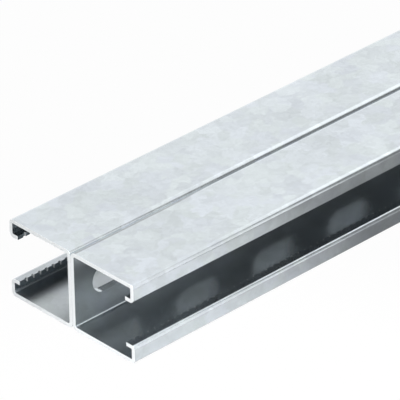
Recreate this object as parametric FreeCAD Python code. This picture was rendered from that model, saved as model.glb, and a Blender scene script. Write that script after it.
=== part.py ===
import FreeCAD, Part
import math
import os

# A double strut channel: two cold formed C channels of galvanised steel, set web to web.
# X runs along the rail, Y across it, Z up. The rail lies on its lower flanges, with the
# webs upright and meeting at Y = 0, and the mouths open to +Y and -Y.
# The origin is the middle of the bottom.

# Driving dimensions, in millimetres

# Section of one channel
rail_length = 300.0
channel_height = 41.0
channel_depth = 41.0
wall = 2.0
mouth_height = 22.0
return_depth = 5.5
web_bend_inner_radius = 1.0
lip_bend_inner_radius = 0.5

# Slots along the middle of each web
web_slot_length = 28.0
web_slot_height = 14.0
web_slot_pitch = 50.0
first_web_slot_from_end = 25.0

# Notches that leave the gripping teeth on the inner edge of each return
notch_pitch = 4.1
notch_depth = 0.7
notch_mouth_width = 1.5
notch_floor_width = 1.3
first_notch_from_end = 4.1

# Sizes that follow from them

lip_height = (channel_height - mouth_height) / 2
return_edge_y = channel_depth - return_depth
web_bend_outer_radius = web_bend_inner_radius + wall
lip_bend_outer_radius = lip_bend_inner_radius + wall
near_end_x = -rail_length / 2
far_end_x = rail_length / 2
cutter_margin = 1.0
rounding_slack = 1e-6


def corner_arc(before, corner, after, radius):
    """The arc that rounds one corner of an outline in the YZ plane, and its two ends."""
    to_before = (before - corner).normalize()
    to_after = (after - corner).normalize()
    half_angle = to_before.getAngle(to_after) / 2
    setback = radius / math.tan(half_angle)
    start = corner + to_before * setback
    end = corner + to_after * setback
    to_centre = (to_before + to_after).normalize()
    centre = corner + to_centre * (radius / math.sin(half_angle))
    middle = centre - to_centre * radius
    return Part.Arc(start, middle, end).toShape(), start, end


def rounded_outline(corners, x):
    """A closed wire at this x through (y, z, radius) corners, each rounded by its radius."""
    points = [FreeCAD.Vector(x, y, z) for y, z, radius in corners]
    edges = []
    joints = []
    for index, (y, z, radius) in enumerate(corners):
        corner = points[index]
        if radius > 0:
            after = points[(index + 1) % len(points)]
            arc, start, end = corner_arc(points[index - 1], corner, after, radius)
            joints.append((start, arc, end))
        else:
            joints.append((corner, None, corner))
    for index, (start, arc, end) in enumerate(joints):
        if arc is not None:
            edges.append(arc)
        next_start = joints[(index + 1) % len(joints)][0]
        edges.append(Part.makeLine(end, next_start))
    return Part.Wire(edges)


def lower_half_corners():
    """The corners of the strip below mid height, from the web's outside round to its inside."""
    inner_lip_y = channel_depth - wall
    return_underside_z = lip_height - wall
    return [
        (0.0, 0.0, web_bend_outer_radius),
        (channel_depth, 0.0, lip_bend_outer_radius),
        (channel_depth, lip_height, lip_bend_outer_radius),
        (return_edge_y, lip_height, 0.0),
        (return_edge_y, return_underside_z, 0.0),
        (inner_lip_y, return_underside_z, lip_bend_inner_radius),
        (inner_lip_y, wall, lip_bend_inner_radius),
        (wall, wall, web_bend_inner_radius),
    ]


def channel_section():
    """The closed outline of one channel at the near end, with its web's back on Y = 0."""
    lower = lower_half_corners()
    upper = [(y, channel_height - z, radius) for y, z, radius in reversed(lower)]
    return rounded_outline(lower + upper, near_end_x)


def formed_strip():
    """The plain channel: its section carried straight along the rail."""
    return Part.Face(channel_section()).extrude(FreeCAD.Vector(rail_length, 0, 0))


def places_along_rail(first_from_end, pitch, last_x):
    """The x of each place in a row that starts this far from the near end and stops by last_x."""
    first_x = near_end_x + first_from_end
    count = int(math.floor((last_x - first_x) / pitch + rounding_slack)) + 1
    return [first_x + index * pitch for index in range(max(count, 0))]


def web_slot_cutter(x):
    """A slot with round ends, long enough along Y to pass through the web."""
    radius = web_slot_height / 2
    end_offset = web_slot_length / 2 - radius
    y = -cutter_margin
    middle_z = channel_height / 2
    top_left = FreeCAD.Vector(x - end_offset, y, middle_z + radius)
    top_right = FreeCAD.Vector(x + end_offset, y, middle_z + radius)
    right = FreeCAD.Vector(x + end_offset + radius, y, middle_z)
    bottom_right = FreeCAD.Vector(x + end_offset, y, middle_z - radius)
    bottom_left = FreeCAD.Vector(x - end_offset, y, middle_z - radius)
    left = FreeCAD.Vector(x - end_offset - radius, y, middle_z)
    outline = Part.Wire(
        [
            Part.makeLine(top_left, top_right),
            Part.Arc(top_right, right, bottom_right).toShape(),
            Part.makeLine(bottom_right, bottom_left),
            Part.Arc(bottom_left, left, top_left).toShape(),
        ]
    )
    depth = wall + 2 * cutter_margin
    return Part.Face(outline).extrude(FreeCAD.Vector(0, depth, 0))


def notch_cutter(x):
    """A tapered cut at this x through the inner edges of both returns, from below to above them."""
    front_y = return_edge_y - cutter_margin
    floor_y = return_edge_y + notch_depth
    flare = (notch_mouth_width - notch_floor_width) / 2 / notch_depth
    front_half_width = notch_mouth_width / 2 + flare * cutter_margin
    floor_half_width = notch_floor_width / 2
    bottom_z = lip_height - wall - cutter_margin
    outline = Part.makePolygon(
        [
            FreeCAD.Vector(x - front_half_width, front_y, bottom_z),
            FreeCAD.Vector(x + front_half_width, front_y, bottom_z),
            FreeCAD.Vector(x + floor_half_width, floor_y, bottom_z),
            FreeCAD.Vector(x - floor_half_width, floor_y, bottom_z),
            FreeCAD.Vector(x - front_half_width, front_y, bottom_z),
        ]
    )
    height = channel_height - 2 * bottom_z
    return Part.Face(outline).extrude(FreeCAD.Vector(0, 0, height))


def strut_channel():
    """One finished channel on the +Y side, slotted and toothed."""
    last_slot_x = far_end_x - web_slot_length / 2
    last_notch_x = far_end_x - notch_mouth_width / 2
    slot_places = places_along_rail(first_web_slot_from_end, web_slot_pitch, last_slot_x)
    notch_places = places_along_rail(first_notch_from_end, notch_pitch, last_notch_x)
    slot_cutters = [web_slot_cutter(x) for x in slot_places]
    notch_cutters = [notch_cutter(x) for x in notch_places]
    return formed_strip().cut(Part.makeCompound(slot_cutters + notch_cutters))


def single_solid(shape):
    """The one solid in a cut's result."""
    return shape.Solids[0]


def write_parts():
    os.makedirs("parts", exist_ok=True)
    left = single_solid(strut_channel())
    right = left.mirror(FreeCAD.Vector(0, 0, 0), FreeCAD.Vector(0, 1, 0))
    for name, shape in (("channel_left", left), ("channel_right", right)):
        shape.exportStep("parts/" + name + ".step")


write_parts()
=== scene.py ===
import math

import bpy
from mathutils import Matrix, Vector


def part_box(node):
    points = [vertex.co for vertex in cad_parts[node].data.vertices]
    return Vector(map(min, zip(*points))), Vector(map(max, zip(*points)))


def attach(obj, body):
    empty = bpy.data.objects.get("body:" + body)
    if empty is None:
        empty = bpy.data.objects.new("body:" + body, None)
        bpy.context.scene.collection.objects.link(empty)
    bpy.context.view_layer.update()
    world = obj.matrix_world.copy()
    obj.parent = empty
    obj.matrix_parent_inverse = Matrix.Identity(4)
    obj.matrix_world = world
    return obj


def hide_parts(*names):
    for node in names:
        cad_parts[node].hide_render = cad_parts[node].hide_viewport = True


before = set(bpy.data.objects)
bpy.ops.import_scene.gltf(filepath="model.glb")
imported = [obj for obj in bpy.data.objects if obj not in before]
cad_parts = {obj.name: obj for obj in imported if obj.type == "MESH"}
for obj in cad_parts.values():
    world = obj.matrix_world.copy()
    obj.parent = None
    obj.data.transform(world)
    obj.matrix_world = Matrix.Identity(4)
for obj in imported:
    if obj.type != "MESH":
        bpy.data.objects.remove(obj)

# The rail's own sizes, in metres. Its length, height and depth come from the frame.

MM = 0.001
WALL = 2.0 * MM
MOUTH_HEIGHT = 22.0 * MM
RETURN_DEPTH = 5.5 * MM
WEB_BEND_OUTER_RADIUS = 3.0 * MM
LIP_BEND_OUTER_RADIUS = 2.5 * MM
BEND_STEPS = 12

SLOT_LENGTH = 28.0 * MM
SLOT_HEIGHT = 14.0 * MM
SLOT_PITCH = 50.0 * MM
FIRST_SLOT = 25.0 * MM
SLOT_END_STEPS = 2 * BEND_STEPS
SLOT_END_SHARE = 0.4999

NOTCH_PITCH = 4.1 * MM
NOTCH_DEPTH = 0.7 * MM
NOTCH_MOUTH_WIDTH = 1.5 * MM
NOTCH_FLOOR_WIDTH = 1.3 * MM
FIRST_NOTCH = 4.1 * MM

# A slot's cutter passes the web's back by the reach, and a notch's keeps off the flanges by it.
# A face whose normal leans this far along the rail takes the cut finish.

CUTTER_MARGIN = 1.0 * MM
CUTTER_REACH = 4.0 * MM
CUT_FACE_LEAN = 0.75

EDGE_ROUNDING = 0.12 * MM
EDGE_ROUNDING_STEPS = 2
EDGE_ANGLE = math.radians(38)
FLAT_FACE_WEIGHT = 100
QUARTER_TURN = math.radians(90)

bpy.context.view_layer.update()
LOW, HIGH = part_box("channel_left")
RAIL_LENGTH = HIGH.x - LOW.x
RAIL_HEIGHT = HIGH.z - LOW.z
CHANNEL_DEPTH = HIGH.y - LOW.y
SLOT_COUNT = int((RAIL_LENGTH - FIRST_SLOT - SLOT_LENGTH / 2) / SLOT_PITCH) + 1
NOTCH_COUNT = int((RAIL_LENGTH - FIRST_NOTCH - NOTCH_MOUTH_WIDTH / 2) / NOTCH_PITCH) + 1

# The zinc's pattern. Its scales are in patches per millimetre, and its reach in millimetres.

CRYSTAL_SCALE = 0.13
CRYSTAL_SMOOTHNESS = 0.35
FLAKE_SCALE = 0.42
FEATHER_SCALE = 5.0
CLOUD_SCALE = 0.035
WAVE_SCALE = 0.22
WAVE_REACH = 7.0

ZINC_LEVEL = 0.66
CRYSTAL_CONTRAST = 0.08
FLAKE_CONTRAST = 0.05
FEATHER_CONTRAST = 0.05
CLOUD_CONTRAST = 0.10
ZINC_TINT = (0.93, 1.0, 1.045, 1.0)
BLUER_TINT = (0.92, 0.975, 1.11, 1.0)
GREENER_TINT = (0.93, 1.03, 0.98, 1.0)
TINT_SHARE = 0.5

ZINC_ROUGHNESS = 0.21
CRYSTAL_GLOSS = 0.05
FEATHER_GLOSS = 0.06
FLAKE_HEIGHT = 0.25
FEATHER_HEIGHT = 0.12
CRYSTAL_HEIGHT = 0.04
ZINC_BUMP = 0.10
ZINC_BUMP_DISTANCE = 0.2 * MM

# Where the zinc differs, in millimetres. A pair is where its share is 0 and where it is 1.

INSIDE_SOFTNESS = 0.1
WEB_BEND = (3.1, 2.8)
SLOT_RIM_ACROSS = (1.95, 1.85)
SLOT_RIM_OFF_MIDDLE = (7.6, 7.2)
LEFT_FLOOR_ACROSS = (2.0, 6.0)
LEFT_FLOOR_UP = (4.0, 2.5)
# Where painted shade darkens the seam: the groove on top where the two channels meet.
SEAM_UP = (37.4, 38.0)
SEAM_OFF_LINE = (1.2, 0.3)
SEAM_LINE_NEAR = -2.5
SEAM_LINE_FAR = -0.8
SEAM_LINE_TURNS = (-95.0, -50.0)

# How much it differs there. Darker inside the channels and in the seam is painted shade, and
# lighter in the web bends is a painted highlight.

INSIDE_PAINTED_SHADE = 0.26
WEB_BEND_PAINTED_HIGHLIGHT = 0.5
SLOT_RIM_LIGHTER = 0.2
SEAM_PAINTED_SHADE = 0.45
INSIDE_ROUGHER = 0.03
LEFT_FLOOR_ROUGHER = 0.07
SLOT_RIM_ROUGHER = 0.05

# The cut steel

SAW_MARKS_PER_METRE = (1000.0, 250.0, 6000.0)
SAWN_LEVEL = 0.76
SAW_MARK_CONTRAST = 0.10
PUNCHED_DARKER = 0.20
# Painted shade on the right channel's punched walls
PUNCHED_RIGHT_PAINTED_SHADE = 0.32
PUNCHED_FROM_END = (0.2 * MM, 0.4 * MM)
RIGHT_SIDE = (-5.0 * MM, -15.0 * MM)
SAWN_TINT = (0.955, 0.985, 1.0, 1.0)
SAWN_METALLIC = 0.15
SAWN_ROUGHNESS = 0.55
SAWN_BUMP = 0.15
SAWN_BUMP_DISTANCE = 0.1 * MM

# The camera, as fitted to the photograph's 400 x 400 frame

FRAME_PIXELS = 400
SENSOR_WIDTH = 36.0
CAMERA_AZIMUTH = math.radians(-43.35)
CAMERA_ELEVATION = math.radians(30.84)
CAMERA_ROLL = math.radians(-0.82)
CAMERA_DISTANCE = 1.7556
CAMERA_CLIP = (0.05, 50.0)
FOCAL_PIXELS = 3935.9
END_CENTRE_PIXEL = (71.46, 290.64)

# The floor, and how white the camera and the metal see it. Behind and under the rail, painted
# light on the floor is seen by the metal alone.

WHITE = (1.0, 1.0, 1.0, 1.0)
FLOOR_REACH = 30.0
FLOOR_LEVEL = -0.02 * MM
FLOOR_COLOUR = (0.285, 0.285, 0.285, 1.0)
FLOOR_WHITE_TO_CAMERA = 0.975
FLOOR_WHITE_TO_METAL = 0.06
BACK_FLOOR_PAINTED_LIGHT = 0.94
UNDER_RAIL_PAINTED_LIGHT = 0.55
BEHIND_RAIL = (45.0 * MM, 70.0 * MM)
UNDER_RAIL_FROM_END = (0.2 * MM, 0.6 * MM)
UNDER_RAIL_FROM_SIDE = (0.2 * MM, 1.0 * MM)

# The room's light, where 1 is white, and the parts of a direction between which it changes

ROOM_WHITE_TO_METAL = 0.05
FRONT_STRIP = 0.46
FRONT_GAP = 0.20
OVERHEAD = 1.15
BACK_LOW = 1.25
BACK_LEVEL = 1.07
STRIP_TO_GAP = (0.08, 0.22)
GAP_TO_OVERHEAD = (0.64, 0.76)
LOW_TO_LEVEL = (0.30, 0.55)
FRONT_TO_BACK = (-0.25, 0.35)


class Wire:
    """An output socket. Arithmetic on wires adds Math nodes to their tree."""

    def __init__(self, graph, socket):
        self.graph = graph
        self.socket = socket

    def other(self, name):
        """Another output of the same node."""
        return Wire(self.graph, self.socket.node.outputs[name])

    def __add__(self, value):
        return self.graph.math("ADD", self, value)

    def __radd__(self, value):
        return self.graph.math("ADD", value, self)

    def __sub__(self, value):
        return self.graph.math("SUBTRACT", self, value)

    def __rsub__(self, value):
        return self.graph.math("SUBTRACT", value, self)

    def __mul__(self, value):
        return self.graph.math("MULTIPLY", self, value)

    def __rmul__(self, value):
        return self.graph.math("MULTIPLY", value, self)

    def __truediv__(self, value):
        return self.graph.math("DIVIDE", self, value)

    def __abs__(self):
        return self.graph.math("ABSOLUTE", self)


class Graph:
    """A node tree in the making."""

    def __init__(self, tree):
        self.tree = tree
        tree.nodes.clear()

    def node(self, kind, settings=None, inputs=None, output=0):
        """Adds a node: its settings first, then the values or wires of its sockets."""
        made = self.tree.nodes.new(kind)
        for name, value in (settings or {}).items():
            setattr(made, name, value)
        for key, value in (inputs or {}).items():
            if isinstance(value, Wire):
                self.tree.links.new(value.socket, made.inputs[key])
            elif isinstance(value, list):
                for wire in value:
                    self.tree.links.new(wire.socket, made.inputs[key])
            else:
                made.inputs[key].default_value = value
        if len(made.outputs) == 0:
            return made
        return Wire(self, made.outputs[output])

    def math(self, operation, *values):
        return self.node("ShaderNodeMath", {"operation": operation}, dict(enumerate(values)))

    def vector(self, operation, a, b):
        return self.node("ShaderNodeVectorMath", {"operation": operation}, {0: a, 1: b})

    def dot(self, a, b):
        """The dot product of two vectors, a number."""
        settings = {"operation": "DOT_PRODUCT"}
        return self.node("ShaderNodeVectorMath", settings, {0: a, 1: b}, output=1)

    def combine(self, x=0.0, y=0.0, z=0.0):
        return self.node("ShaderNodeCombineXYZ", None, {0: x, 1: y, 2: z})

    def separate(self, vector):
        """A vector's X, with its Y and Z as the wire's other outputs."""
        return self.node("ShaderNodeSeparateXYZ", None, {0: vector})

    def mix(self, amount, a, b, blend="MIX"):
        """Colour a turned towards colour b by this amount."""
        settings = {"data_type": "RGBA", "blend_type": blend}
        return self.node("ShaderNodeMix", settings, {0: amount, 6: a, 7: b}, output=2)

    def eased(self, value, start, end):
        """0 where the value is at start and 1 where it is at end, eased between."""
        settings = {"interpolation_type": "SMOOTHSTEP"}
        inputs = {"Value": value, "From Min": start, "From Max": end}
        return self.node("ShaderNodeMapRange", settings, inputs)

    def compare(self, operation, a, b):
        """Whether one number is less or greater than another."""
        settings = {"data_type": "FLOAT", "operation": operation}
        return self.node("FunctionNodeCompare", settings, {"A": a, "B": b})

    def grey(self, level):
        return self.node("ShaderNodeCombineColor", None, {0: level, 1: level, 2: level})


def new_material(name):
    material = bpy.data.materials.new(name)
    material.use_nodes = True
    return material, Graph(material.node_tree)


def swing(value, amount):
    """A value from 0 to 1, made to swing about 0 by this amount from end to end."""
    return (value - 0.5) * amount


# Materials


def places_on_channel(graph, in_mm):
    """Shares from 0 to 1: inside, in a web bend where a highlight is painted, on a slot rim, on
    the left floor, in the seam where shade is painted.
    """
    where = graph.separate(in_mm)
    across = abs(where.other("Y"))
    up = where.other("Z")
    depth = CHANNEL_DEPTH / MM
    height = RAIL_HEIGHT / MM
    skin = WALL / MM - INSIDE_SOFTNESS
    past_walls = graph.math("MINIMUM", across - skin, depth - skin - across)
    past_flanges = graph.math("MINIMUM", up - skin, height - skin - up)
    inside = graph.eased(graph.math("MINIMUM", past_walls, past_flanges), 0.0, INSIDE_SOFTNESS)
    from_flange = graph.math("MINIMUM", up, height - up)
    web_bend_highlight = inside * graph.eased(graph.math("MAXIMUM", across, from_flange), *WEB_BEND)
    off_middle = abs(up - height / 2)
    at_rim_height = graph.eased(off_middle, *SLOT_RIM_OFF_MIDDLE)
    on_slot_rim = graph.eased(across, *SLOT_RIM_ACROSS) * at_rim_height
    over_left_floor = graph.eased(where.other("Y"), *LEFT_FLOOR_ACROSS)
    on_left_floor = over_left_floor * graph.eased(up, *LEFT_FLOOR_UP) * inside
    along_seam = graph.eased(where, *SEAM_LINE_TURNS)
    seam_line = SEAM_LINE_NEAR + (SEAM_LINE_FAR - SEAM_LINE_NEAR) * along_seam
    near_seam = graph.eased(abs(where.other("Y") - seam_line), *SEAM_OFF_LINE)
    shaded_seam = near_seam * graph.eased(up, *SEAM_UP) * (1.0 - inside)
    return inside, web_bend_highlight, on_slot_rim, on_left_floor, shaded_seam


def galvanised_steel():
    """Hot dipped zinc on steel: pale crystals with faint tints, finer flakes and feathering, with
    painted shade inside the channels and in the seam and a painted highlight in the web bends.
    """
    material, graph = new_material("galvanised_steel")
    place = graph.node("ShaderNodeTexCoord").other("Object")
    in_mm = graph.vector("MULTIPLY", place, (1 / MM, 1 / MM, 1 / MM))
    middle = (0.5, 0.5, 0.5)
    wave = graph.node(
        "ShaderNodeTexNoise", None, {"Vector": in_mm, "Scale": WAVE_SCALE, "Detail": 3.0}
    ).other("Color")
    reach = (WAVE_REACH, WAVE_REACH, WAVE_REACH)
    shift = graph.vector("MULTIPLY", graph.vector("SUBTRACT", wave, middle), reach)
    bent = graph.vector("ADD", in_mm, shift)
    crystal = graph.node(
        "ShaderNodeTexVoronoi",
        {"feature": "SMOOTH_F1"},
        {"Vector": bent, "Scale": CRYSTAL_SCALE, "Smoothness": CRYSTAL_SMOOTHNESS},
    )
    tone = graph.node("ShaderNodeSeparateColor", None, {0: crystal.other("Color")})
    warmth = tone.other("Green")
    gloss = tone.other("Blue")
    flake = graph.node("ShaderNodeTexVoronoi", None, {"Vector": bent, "Scale": FLAKE_SCALE})
    flake_tone = graph.node("ShaderNodeSeparateColor", None, {0: flake.other("Color")})
    lean = graph.vector("SUBTRACT", flake.other("Color"), middle)
    feather = graph.node(
        "ShaderNodeTexNoise",
        {"noise_dimensions": "1D"},
        {"W": graph.dot(in_mm, lean) * FEATHER_SCALE, "Scale": 1.0, "Detail": 2.0},
    )
    cloud = graph.node(
        "ShaderNodeTexNoise", None, {"Vector": in_mm, "Scale": CLOUD_SCALE, "Detail": 2.0}
    )

    places = places_on_channel(graph, in_mm)
    inside, web_bend_highlight, on_slot_rim, on_left_floor, shaded_seam = places
    level = (
        ZINC_LEVEL
        + swing(tone, CRYSTAL_CONTRAST)
        + swing(flake_tone, FLAKE_CONTRAST)
        + swing(feather, FEATHER_CONTRAST)
        + swing(cloud, CLOUD_CONTRAST)
    )
    # Painted shade darkens the zinc inside the channels and in the seam, and a painted highlight
    # lightens it in the inner web bends.
    lightness = level * (
        1.0
        - INSIDE_PAINTED_SHADE * inside
        + WEB_BEND_PAINTED_HIGHLIGHT * web_bend_highlight
        + SLOT_RIM_LIGHTER * on_slot_rim
        - SEAM_PAINTED_SHADE * shaded_seam
    )
    cool = graph.mix(swing(warmth, TINT_SHARE), ZINC_TINT, BLUER_TINT)
    tint = graph.mix(swing(1.0 - warmth, TINT_SHARE), cool, GREENER_TINT)
    base = graph.mix(1.0, graph.grey(lightness), tint, "MULTIPLY")
    roughness = (
        ZINC_ROUGHNESS
        + INSIDE_ROUGHER * inside
        + LEFT_FLOOR_ROUGHER * on_left_floor
        + SLOT_RIM_ROUGHER * on_slot_rim
        + swing(gloss, CRYSTAL_GLOSS) * (1.0 - inside)
        + swing(feather, FEATHER_GLOSS)
    )
    height = flake * FLAKE_HEIGHT + feather * FEATHER_HEIGHT + crystal * CRYSTAL_HEIGHT
    bump = graph.node(
        "ShaderNodeBump",
        None,
        {"Strength": ZINC_BUMP, "Distance": ZINC_BUMP_DISTANCE, "Height": height},
    )
    shader = graph.node(
        "ShaderNodeBsdfPrincipled",
        None,
        {"Base Color": base, "Metallic": 1.0, "Roughness": roughness, "Normal": bump},
    )
    graph.node("ShaderNodeOutputMaterial", None, {"Surface": shader})
    return material


def sawn_steel():
    """The bright steel of a fresh cut, with fine marks across it. Punched walls are less bright,
    and on the right channel painted shade darkens them further.
    """
    material, graph = new_material("sawn_steel")
    place = graph.node("ShaderNodeTexCoord").other("Object")
    stretched = graph.vector("MULTIPLY", place, SAW_MARKS_PER_METRE)
    marks = graph.node(
        "ShaderNodeTexNoise", None, {"Vector": stretched, "Scale": 1.0, "Detail": 2.0}
    )
    bump = graph.node(
        "ShaderNodeBump",
        None,
        {"Strength": SAWN_BUMP, "Distance": SAWN_BUMP_DISTANCE, "Height": marks},
    )
    where = graph.separate(place)
    punched = graph.eased(RAIL_LENGTH / 2 - abs(where), *PUNCHED_FROM_END)
    on_right = graph.eased(where.other("Y"), *RIGHT_SIDE)
    # Punched walls are less bright, and on the right channel painted shade darkens them further.
    dull_and_shaded = punched * (PUNCHED_DARKER + PUNCHED_RIGHT_PAINTED_SHADE * on_right)
    bright = graph.grey(SAWN_LEVEL - dull_and_shaded + swing(marks, SAW_MARK_CONTRAST))
    inputs = {
        "Base Color": graph.mix(1.0, bright, SAWN_TINT, "MULTIPLY"),
        "Metallic": SAWN_METALLIC,
        "Roughness": SAWN_ROUGHNESS,
        "Normal": bump,
    }
    shader = graph.node("ShaderNodeBsdfPrincipled", None, inputs)
    graph.node("ShaderNodeOutputMaterial", None, {"Surface": shader})
    return material


# The section of one channel, drawn flat: x runs away from the web's back, y up the web


def section_corners():
    """The outline's corners as (x, y, bend radius), round the lower half and then the upper."""
    lip = (RAIL_HEIGHT - MOUTH_HEIGHT) / 2
    outer = LIP_BEND_OUTER_RADIUS
    inner = LIP_BEND_OUTER_RADIUS - WALL
    edge = CHANNEL_DEPTH - RETURN_DEPTH
    lower = [
        (0.0, 0.0, WEB_BEND_OUTER_RADIUS),
        (CHANNEL_DEPTH, 0.0, outer),
        (CHANNEL_DEPTH, lip, outer),
        (edge, lip, 0.0),
        (edge, lip - WALL, 0.0),
        (CHANNEL_DEPTH - WALL, lip - WALL, inner),
        (CHANNEL_DEPTH - WALL, WALL, inner),
        (WALL, WALL, WEB_BEND_OUTER_RADIUS - WALL),
    ]
    upper = [(x, RAIL_HEIGHT - y, radius) for x, y, radius in reversed(lower)]
    return lower + upper


def section_drawing(name):
    """A mesh of edges alone: the outline, with each corner's bend radius as an attribute."""
    corners = section_corners()
    count = len(corners)
    mesh = bpy.data.meshes.new(name)
    edges = [(index, (index + 1) % count) for index in range(count)]
    mesh.from_pydata([(x, y, 0.0) for x, y, radius in corners], edges, [])
    radii = mesh.attributes.new("bend_radius", "FLOAT", "POINT")
    radii.data.foreach_set("value", [radius for x, y, radius in corners])
    return mesh


# The geometry tree that rolls a drawing into a channel and punches it

ROLLING_INPUTS = {
    "Drawing": "NodeSocketGeometry",
    "Side": "NodeSocketFloat",
    "Rail Length": "NodeSocketFloat",
    "Rail Height": "NodeSocketFloat",
    "Bend Steps": "NodeSocketInt",
    "Slot Length": "NodeSocketFloat",
    "Slot Height": "NodeSocketFloat",
    "Slot End Steps": "NodeSocketInt",
    "Slot Pitch": "NodeSocketFloat",
    "First Slot": "NodeSocketFloat",
    "Slot Count": "NodeSocketInt",
    "Notch Edge": "NodeSocketFloat",
    "Notch Depth": "NodeSocketFloat",
    "Notch Mouth Width": "NodeSocketFloat",
    "Notch Floor Width": "NodeSocketFloat",
    "Notch Pitch": "NodeSocketFloat",
    "First Notch": "NodeSocketFloat",
    "Notch Count": "NodeSocketInt",
    "Cutter Margin": "NodeSocketFloat",
    "Cutter Reach": "NodeSocketFloat",
    "Zinc": "NodeSocketMaterial",
    "Sawn Steel": "NodeSocketMaterial",
}


def carried_along(graph, outline, start, end):
    """A closed bar: a flat outline carried up Z from start to end, with its ends filled."""
    line = graph.node(
        "GeometryNodeCurvePrimitiveLine",
        None,
        {"Start": graph.combine(z=start), "End": graph.combine(z=end)},
    )
    inputs = {"Curve": line, "Profile Curve": outline, "Fill Caps": True}
    return graph.node("GeometryNodeCurveToMesh", None, inputs)


def row_of(graph, cutter, count, first, pitch):
    """Copies of a cutter in a row along X."""
    row = graph.node(
        "GeometryNodeMeshLine",
        None,
        {
            "Count": count,
            "Start Location": graph.combine(x=first),
            "Offset": graph.combine(x=pitch),
        },
    )
    return graph.node("GeometryNodeInstanceOnPoints", None, {"Points": row, "Instance": cutter})


def web_slots(graph, given, near_end):
    """The cutters of the slots. A fillet of just under half the height rounds each end."""
    plate = graph.node(
        "GeometryNodeCurvePrimitiveQuadrilateral",
        None,
        {"Width": given("Slot Length"), "Height": given("Slot Height")},
    )
    outline = graph.node(
        "GeometryNodeFilletCurve",
        {"mode": "POLY"},
        {
            "Curve": plate,
            "Count": given("Slot End Steps"),
            "Radius": given("Slot Height") * SLOT_END_SHARE,
        },
    )
    bar = carried_along(graph, outline, 0.0 - given("Cutter Reach"), given("Cutter Reach"))
    turned = graph.node(
        "GeometryNodeTransform",
        None,
        {
            "Geometry": bar,
            "Translation": graph.combine(z=given("Rail Height") * 0.5),
            "Rotation": (QUARTER_TURN, 0.0, 0.0),
        },
    )
    first = near_end + given("First Slot")
    return row_of(graph, turned, given("Slot Count"), first, given("Slot Pitch"))


def return_notches(graph, given, near_end):
    """The cutters of the notches, each tall enough for both returns."""
    flare = (given("Notch Mouth Width") - given("Notch Floor Width")) / given("Notch Depth")
    depth = given("Notch Depth") + given("Cutter Margin")
    outline = graph.node(
        "GeometryNodeCurvePrimitiveQuadrilateral",
        {"mode": "TRAPEZOID"},
        {
            "Height": depth,
            "Bottom Width": given("Notch Floor Width") + flare * depth,
            "Top Width": given("Notch Floor Width"),
            "Offset": 0.0,
        },
    )
    top = given("Rail Height") - given("Cutter Reach")
    bar = carried_along(graph, outline, given("Cutter Reach"), top)
    middle = given("Notch Edge") + (given("Notch Depth") - given("Cutter Margin")) * 0.5
    placed = graph.node(
        "GeometryNodeTransform", None, {"Geometry": bar, "Translation": graph.combine(y=middle)}
    )
    first = near_end + given("First Notch")
    return row_of(graph, placed, given("Notch Count"), first, given("Notch Pitch"))


def rolling_tree():
    """Rolls the drawing along X, cuts the slots and the notches, and gives the finishes."""
    tree = bpy.data.node_groups.new("rolled_and_punched_channel", "GeometryNodeTree")
    graph = Graph(tree)
    for name, kind in ROLLING_INPUTS.items():
        tree.interface.new_socket(name, in_out="INPUT", socket_type=kind)
    tree.interface.new_socket("Channel", in_out="OUTPUT", socket_type="NodeSocketGeometry")
    given = graph.node("NodeGroupInput").other
    far_end = given("Rail Length") * 0.5
    near_end = 0.0 - far_end

    drawn = graph.node("GeometryNodeMeshToCurve", None, {"Mesh": given("Drawing")})
    radius = graph.node(
        "GeometryNodeInputNamedAttribute", {"data_type": "FLOAT"}, {"Name": "bend_radius"}
    )
    bent = graph.node(
        "GeometryNodeFilletCurve",
        {"mode": "POLY"},
        {"Curve": drawn, "Count": given("Bend Steps"), "Radius": radius},
    )
    strip = graph.node(
        "GeometryNodeTransform",
        None,
        {
            "Geometry": carried_along(graph, bent, near_end, far_end),
            "Rotation": (QUARTER_TURN, 0.0, QUARTER_TURN),
        },
    )
    cutters = graph.node(
        "GeometryNodeJoinGeometry",
        None,
        {"Geometry": [web_slots(graph, given, near_end), return_notches(graph, given, near_end)]},
    )
    punched = graph.node(
        "GeometryNodeMeshBoolean",
        {"operation": "DIFFERENCE", "solver": "EXACT"},
        {"Mesh 1": strip, "Mesh 2": cutters},
    )
    sided = graph.node(
        "GeometryNodeTransform",
        None,
        {"Geometry": punched, "Scale": graph.combine(1.0, given("Side"), 1.0)},
    )
    turned_inside_out = graph.compare("LESS_THAN", given("Side"), 0.0)
    outward = graph.node(
        "GeometryNodeFlipFaces", None, {"Mesh": sided, "Selection": turned_inside_out}
    )
    whole = graph.node("GeometryNodeRealizeInstances", None, {"Geometry": outward})
    coated = graph.node(
        "GeometryNodeSetMaterial", None, {"Geometry": whole, "Material": given("Zinc")}
    )
    facing = graph.separate(graph.node("GeometryNodeInputNormal"))
    cut_across = graph.compare("GREATER_THAN", abs(facing), CUT_FACE_LEAN)
    finished = graph.node(
        "GeometryNodeSetMaterial",
        None,
        {"Geometry": coated, "Selection": cut_across, "Material": given("Sawn Steel")},
    )
    graph.node("NodeGroupOutput", None, {"Channel": finished})
    return tree


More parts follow.
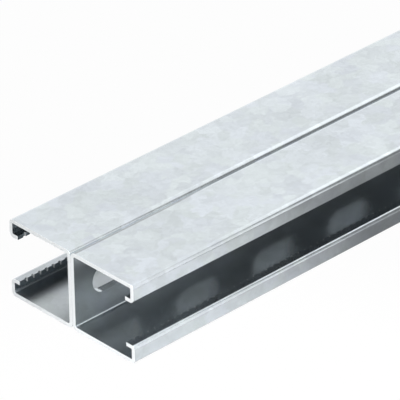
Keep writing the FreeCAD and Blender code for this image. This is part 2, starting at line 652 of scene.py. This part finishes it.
def rolled_channel(name, side, tree, zinc, sawn):
    """One channel on the +Y side (side 1) or the -Y side (side -1), as a plain mesh."""
    piece = bpy.data.objects.new(name, section_drawing(name + "_section"))
    bpy.context.scene.collection.objects.link(piece)
    rolling = piece.modifiers.new("rolling", "NODES")
    rolling.node_group = tree
    values = {
        "Side": float(side),
        "Rail Length": RAIL_LENGTH,
        "Rail Height": RAIL_HEIGHT,
        "Bend Steps": BEND_STEPS,
        "Slot Length": SLOT_LENGTH,
        "Slot Height": SLOT_HEIGHT,
        "Slot End Steps": SLOT_END_STEPS,
        "Slot Pitch": SLOT_PITCH,
        "First Slot": FIRST_SLOT,
        "Slot Count": SLOT_COUNT,
        "Notch Edge": CHANNEL_DEPTH - RETURN_DEPTH,
        "Notch Depth": NOTCH_DEPTH,
        "Notch Mouth Width": NOTCH_MOUTH_WIDTH,
        "Notch Floor Width": NOTCH_FLOOR_WIDTH,
        "Notch Pitch": NOTCH_PITCH,
        "First Notch": FIRST_NOTCH,
        "Notch Count": NOTCH_COUNT,
        "Cutter Margin": CUTTER_MARGIN,
        "Cutter Reach": CUTTER_REACH,
        "Zinc": zinc,
        "Sawn Steel": sawn,
    }
    identifiers = {
        item.name: item.identifier
        for item in tree.interface.items_tree
        if item.item_type == "SOCKET" and item.in_out == "INPUT"
    }
    for title, value in values.items():
        rolling[identifiers[title]] = value
    bevel = piece.modifiers.new("edge_rounding", "BEVEL")
    bevel.width = EDGE_ROUNDING
    bevel.segments = EDGE_ROUNDING_STEPS
    bevel.limit_method = "ANGLE"
    bevel.angle_limit = EDGE_ANGLE
    weighted = piece.modifiers.new("flat_shading_of_flats", "WEIGHTED_NORMAL")
    weighted.weight = FLAT_FACE_WEIGHT
    weighted.keep_sharp = True
    depsgraph = bpy.context.evaluated_depsgraph_get()
    mesh = bpy.data.meshes.new_from_object(
        piece.evaluated_get(depsgraph), preserve_all_data_layers=True, depsgraph=depsgraph
    )
    piece.modifiers.clear()
    piece.data = mesh
    mesh.name = name
    return piece


# Camera, floor and light


def photograph_camera():
    """The fitted camera: its view axis, roll, distance and focal length."""
    back = Vector(
        (
            math.sin(CAMERA_AZIMUTH) * math.cos(CAMERA_ELEVATION),
            -math.cos(CAMERA_AZIMUTH) * math.cos(CAMERA_ELEVATION),
            math.sin(CAMERA_ELEVATION),
        )
    )
    level_right = Vector((0.0, 0.0, 1.0)).cross(back).normalized()
    level_up = back.cross(level_right)
    right = level_right * math.cos(CAMERA_ROLL) + level_up * math.sin(CAMERA_ROLL)
    up = level_up * math.cos(CAMERA_ROLL) - level_right * math.sin(CAMERA_ROLL)
    end_centre = Vector((LOW.x, 0.0, RAIL_HEIGHT / 2))
    across, down = END_CENTRE_PIXEL
    per_pixel = CAMERA_DISTANCE / FOCAL_PIXELS
    place = end_centre + back * CAMERA_DISTANCE
    place -= right * (across - FRAME_PIXELS / 2) * per_pixel
    place += up * (down - FRAME_PIXELS / 2) * per_pixel
    lens = bpy.data.cameras.new("photograph_camera")
    lens.sensor_width = SENSOR_WIDTH
    lens.lens = FOCAL_PIXELS / FRAME_PIXELS * SENSOR_WIDTH
    lens.clip_start, lens.clip_end = CAMERA_CLIP
    camera = bpy.data.objects.new("photograph_camera", lens)
    turn = Matrix((right, up, back)).transposed().to_4x4()
    camera.matrix_world = Matrix.Translation(place) @ turn
    bpy.context.scene.collection.objects.link(camera)
    bpy.context.scene.camera = camera


def floor_white_to_metal(graph):
    """How white the metal sees the floor: painted light makes it most white behind the rail and
    less under it, and it is least white in front.
    """
    where = graph.separate(graph.node("ShaderNodeTexCoord").other("Object"))
    behind = graph.eased(where.other("Y"), *BEHIND_RAIL)
    from_end = RAIL_LENGTH / 2 - abs(where)
    from_side = CHANNEL_DEPTH - LIP_BEND_OUTER_RADIUS - abs(where.other("Y"))
    within_ends = graph.eased(from_end, *UNDER_RAIL_FROM_END)
    within_sides = graph.eased(from_side, *UNDER_RAIL_FROM_SIDE)
    return (
        FLOOR_WHITE_TO_METAL
        + BACK_FLOOR_PAINTED_LIGHT * behind
        + UNDER_RAIL_PAINTED_LIGHT * (within_ends * within_sides)
    )


def studio_floor():
    """A pale floor that keeps the rail's shadow and can be seen through from below."""
    material, graph = new_material("pale_floor")
    seen = graph.node("ShaderNodeLightPath")
    share = (
        seen.other("Is Camera Ray") * FLOOR_WHITE_TO_CAMERA
        + seen.other("Is Glossy Ray") * floor_white_to_metal(graph)
        + seen.other("Is Transmission Ray") * FLOOR_WHITE_TO_CAMERA
    )
    lit = graph.node("ShaderNodeBsdfDiffuse", None, {"Color": FLOOR_COLOUR})
    bright = graph.node("ShaderNodeEmission", None, {"Color": WHITE, "Strength": 1.0})
    above = graph.node("ShaderNodeMixShader", None, {0: share, 1: lit, 2: bright})
    clear = graph.node("ShaderNodeBsdfTransparent")
    below = graph.node("ShaderNodeNewGeometry").other("Backfacing")
    both = graph.node("ShaderNodeMixShader", None, {0: below, 1: above, 2: clear})
    graph.node("ShaderNodeOutputMaterial", None, {"Surface": both})
    mesh = bpy.data.meshes.new("studio_floor")
    reach = FLOOR_REACH
    corners = [(-reach, -reach), (reach, -reach), (reach, reach), (-reach, reach)]
    mesh.from_pydata([(x, y, FLOOR_LEVEL) for x, y in corners], [], [(0, 1, 2, 3)])
    mesh.materials.append(material)
    floor = bpy.data.objects.new("studio_floor", mesh)
    bpy.context.scene.collection.objects.link(floor)


def studio_light():
    """A pale room that is brighter overhead and behind the rail, and dim along its front."""
    world = bpy.data.worlds.new("studio")
    bpy.context.scene.world = world
    world.use_nodes = True
    graph = Graph(world.node_tree)
    seen = graph.node("ShaderNodeLightPath")
    direction = graph.separate(graph.node("ShaderNodeTexCoord").other("Generated"))
    height = direction.other("Z")
    front = (
        FRONT_STRIP
        + (FRONT_GAP - FRONT_STRIP) * graph.eased(height, *STRIP_TO_GAP)
        + (OVERHEAD - FRONT_GAP) * graph.eased(height, *GAP_TO_OVERHEAD)
    )
    back = BACK_LOW + (BACK_LEVEL - BACK_LOW) * graph.eased(height, *LOW_TO_LEVEL)
    level = front + (back - front) * graph.eased(direction.other("Y"), *FRONT_TO_BACK)
    share = (
        seen.other("Is Camera Ray")
        + seen.other("Is Transmission Ray")
        + seen.other("Is Glossy Ray") * ROOM_WHITE_TO_METAL
    )
    room = graph.node("ShaderNodeBackground", None, {"Color": graph.grey(level), "Strength": 1.0})
    white = graph.node("ShaderNodeBackground", None, {"Color": WHITE, "Strength": 1.0})
    both = graph.node("ShaderNodeMixShader", None, {0: share, 1: room, 2: white})
    graph.node("ShaderNodeOutputWorld", None, {"Surface": both})


def place_lamp(name, lamp, place, aim, mirrored=True):
    """Puts a lamp here, faced to its aim, unseen by the camera and mirrored in metal or not."""
    holder = bpy.data.objects.new(name, lamp)
    holder.location = place
    holder.rotation_euler = (Vector(aim) - Vector(place)).to_track_quat("-Z", "Y").to_euler()
    holder.visible_camera = False
    holder.visible_glossy = mirrored
    bpy.context.scene.collection.objects.link(holder)


def spot(name, place, aim, cone, blend, radius, watts):
    """A soft spot lamp with a cone this wide."""
    lamp = bpy.data.lights.new(name, "SPOT")
    lamp.spot_size = cone
    lamp.spot_blend = blend
    lamp.shadow_soft_size = radius
    lamp.energy = watts
    place_lamp(name, lamp, place, aim)


def light_panel(name, place, aim, width, height, brightness, mirrored=True):
    """A flat panel this bright, where 1 is white."""
    lamp = bpy.data.lights.new(name, "AREA")
    lamp.shape = "RECTANGLE"
    lamp.size = width
    lamp.size_y = height
    lamp.energy = brightness * math.pi * width * height
    place_lamp(name, lamp, place, aim, mirrored)


photograph_camera()
studio_floor()
studio_light()
spot(
    "near_end_spot",
    place=(-0.22, -0.68, 1.05),
    aim=(-0.166, -0.135, 0.0),
    cone=math.radians(15),
    blend=0.3,
    radius=0.04,
    watts=172.0,
)
light_panel(
    "front_left_panel",
    place=(-0.135, -0.30, 0.22),
    aim=(-0.135, 0.0, 0.22),
    width=0.63,
    height=0.44,
    brightness=0.88,
)
light_panel(
    "far_overhead_panel",
    place=(0.735, 0.10, 0.60),
    aim=(0.735, 0.10, 0.0),
    width=0.72,
    height=0.68,
    brightness=0.50,
)
light_panel(
    "near_end_panel",
    place=(-0.70, 0.10, 0.30),
    aim=(-0.15, 0.0, 0.02),
    width=0.90,
    height=0.60,
    brightness=0.95,
    mirrored=False,
)

zinc_finish = galvanised_steel()
sawn_finish = sawn_steel()
rolling = rolling_tree()
for channel_name, channel_side, cad_node in (
    ("left_channel_formed", 1, "channel_left"),
    ("right_channel_formed", -1, "channel_right"),
):
    channel = rolled_channel(channel_name, channel_side, rolling, zinc_finish, sawn_finish)
    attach(channel, "root")
    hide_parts(cad_node)

bpy.context.scene.view_settings.view_transform = "Standard"
